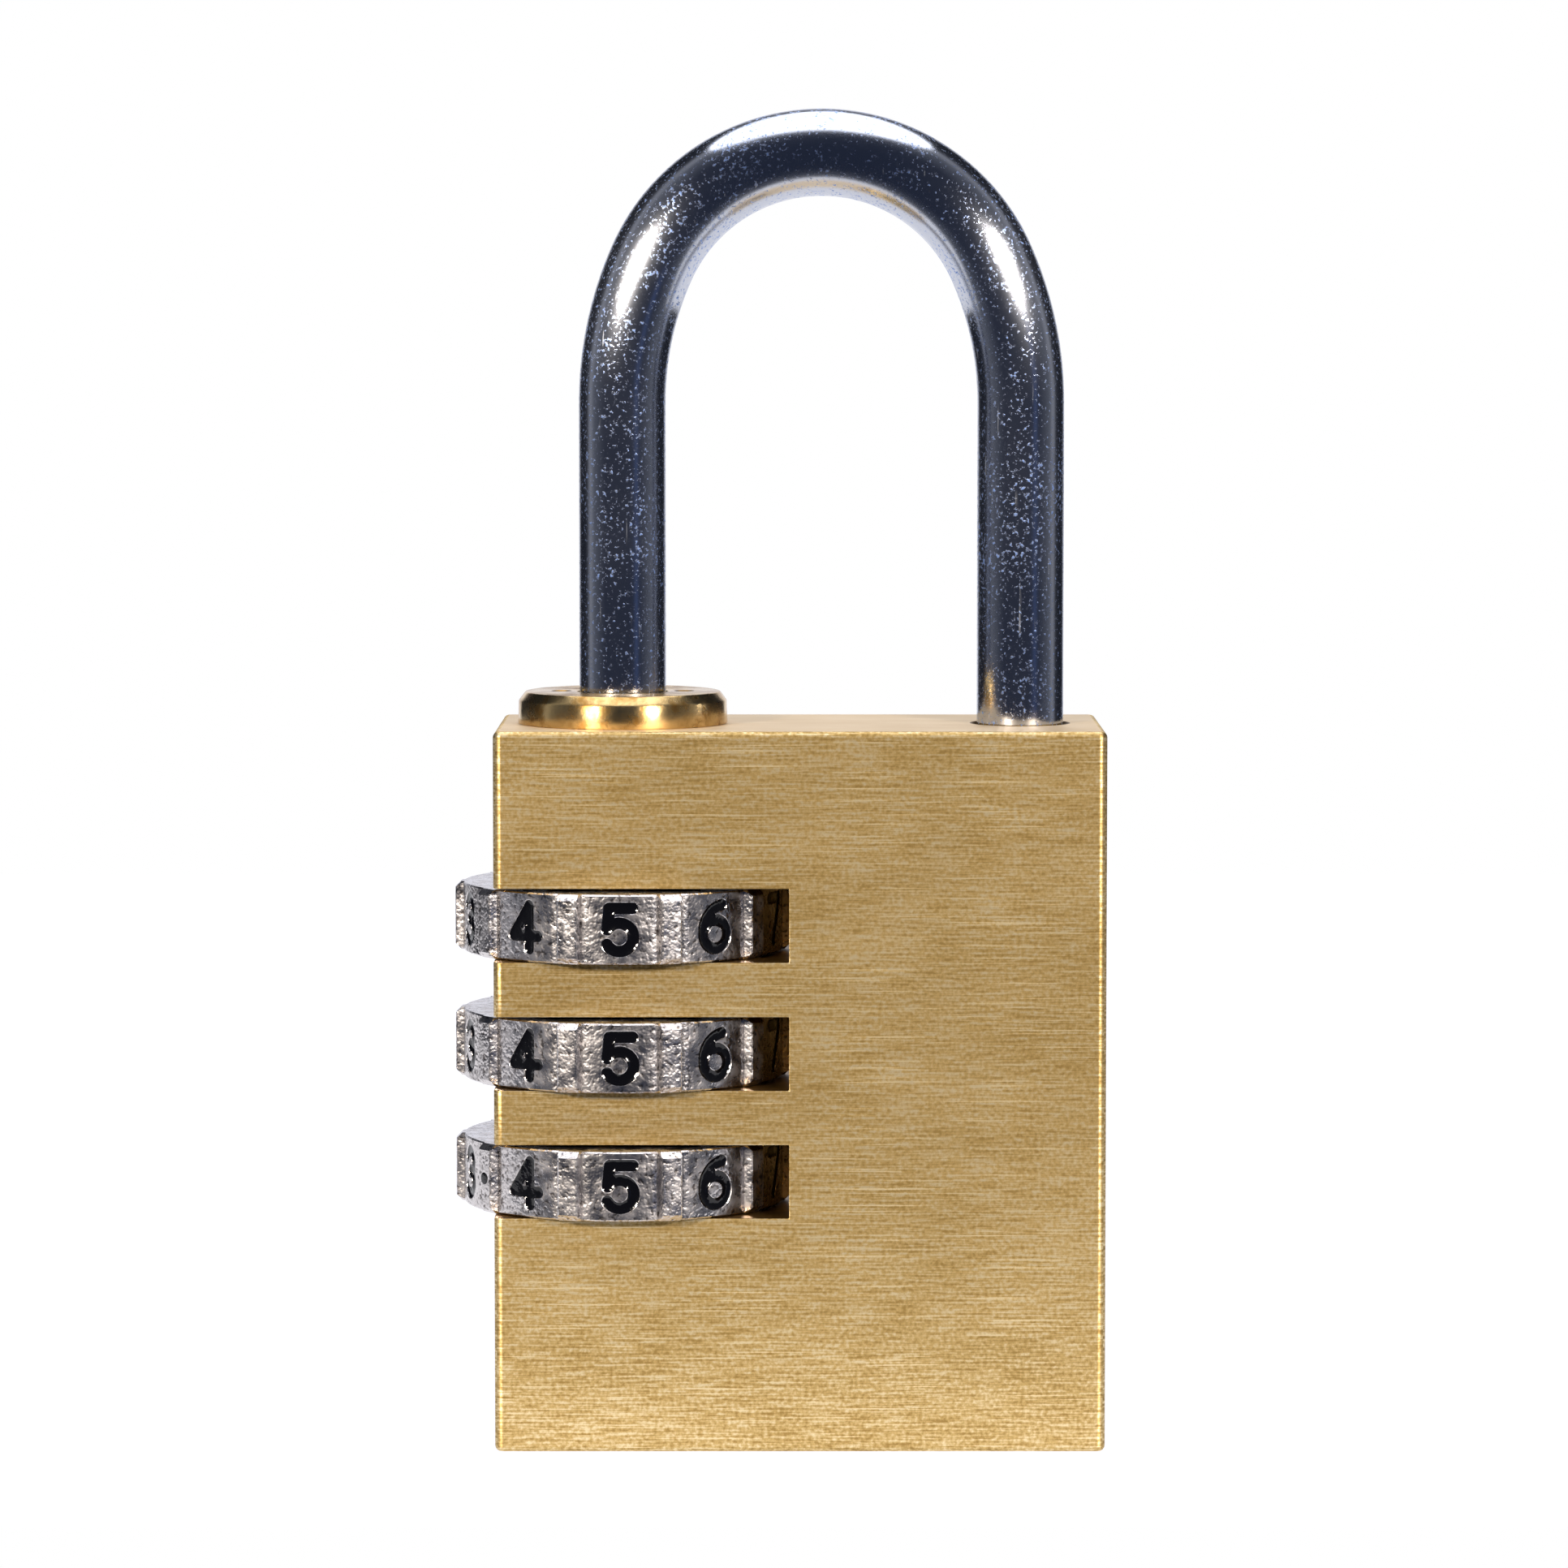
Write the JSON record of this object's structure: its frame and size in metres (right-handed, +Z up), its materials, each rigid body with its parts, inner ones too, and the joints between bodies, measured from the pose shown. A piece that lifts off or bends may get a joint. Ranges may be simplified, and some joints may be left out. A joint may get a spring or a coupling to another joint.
{
  "type": "combination padlock",
  "caption": "Small combination padlock: rectangular brass body, thumb-turned digit dials at its left side and a lifting chromed shackle.",
  "frame": {"origin": "centre of the body's flat bottom face", "axes": "+Z up along the shackle legs, -Y the front that faces the reader, -X the side where the dials stand out"},
  "size_m": [0.0321, 0.0162, 0.0659],
  "materials": {
    "brushed_brass": "brushed",
    "polished_brass": "turned and polished",
    "shackle_chrome": "chromium plated, lightly scratched",
    "plated_zinc": "nickel plated die cast zinc",
    "black_enamel": "glossy enamel fill",
    "turned_brass": "turned",
    "spring_steel": "drawn wire",
    "stamped_steel": "stamped"
  },
  "bodies": {
    "lock_body": {"body": "brushed_brass", "top_collar": "polished_brass", "click_spring_top": "spring_steel", "click_spring_middle": "spring_steel", "click_spring_bottom": "spring_steel", "reset_spring": "spring_steel"},
    "shackle_assembly": {"shackle": "shackle_chrome", "retaining_clip": "stamped_steel"},
    "top_dial": {"dial_top": "plated_zinc", "numerals_top": "black_enamel"},
    "middle_dial": {"dial_middle": "plated_zinc", "numerals_middle": "black_enamel"},
    "bottom_dial": {"dial_bottom": "plated_zinc", "numerals_bottom": "black_enamel", "index_dot": "black_enamel"},
    "top_sleeve": {"sleeve_top": "turned_brass"},
    "middle_sleeve": {"sleeve_middle": "turned_brass"},
    "bottom_sleeve": {"sleeve_bottom": "turned_brass"},
    "washer": {"thrust_washer": "stamped_steel"}
  },
  "joints": [
    {"name": "shackle_lift", "type": "slide", "parent": "lock_body", "child": "shackle_assembly", "axis": [0, 0, 1], "range_m": [0, 0.0052]},
    {"name": "top_dial_turn", "type": "hinge", "parent": "lock_body", "child": "top_dial", "pos_m": [-0.0088, 0, 0.026], "axis": [0, 0, 1], "continuous": true, "deforming": ["click_spring_top"]},
    {"name": "middle_dial_turn", "type": "hinge", "parent": "lock_body", "child": "middle_dial", "pos_m": [-0.0088, 0, 0.0197], "axis": [0, 0, 1], "continuous": true, "deforming": ["click_spring_middle"]},
    {"name": "bottom_dial_turn", "type": "hinge", "parent": "lock_body", "child": "bottom_dial", "pos_m": [-0.0088, 0, 0.0134], "axis": [0, 0, 1], "continuous": true, "deforming": ["click_spring_bottom"]},
    {"name": "top_sleeve_shift", "type": "slide", "parent": "top_dial", "child": "top_sleeve", "axis": [0, 0, -1], "range_m": [0, 0.001], "stiffness_N_per_m": 600, "springref_m": -0.002},
    {"name": "middle_sleeve_shift", "type": "slide", "parent": "middle_dial", "child": "middle_sleeve", "axis": [0, 0, -1], "range_m": [0, 0.001]},
    {"name": "bottom_sleeve_shift", "type": "slide", "parent": "bottom_dial", "child": "bottom_sleeve", "axis": [0, 0, -1], "range_m": [0, 0.001]},
    {"name": "washer_shift", "type": "slide", "parent": "lock_body", "child": "washer", "axis": [0, 0, -1], "range_m": [0, 0.001], "deforming": ["reset_spring"]}
  ],
  "couplings": [
    {"joint": "middle_sleeve_shift", "follows": "top_sleeve_shift", "ratio": 1},
    {"joint": "bottom_sleeve_shift", "follows": "top_sleeve_shift", "ratio": 1},
    {"joint": "washer_shift", "follows": "top_sleeve_shift", "ratio": 1}
  ]
}
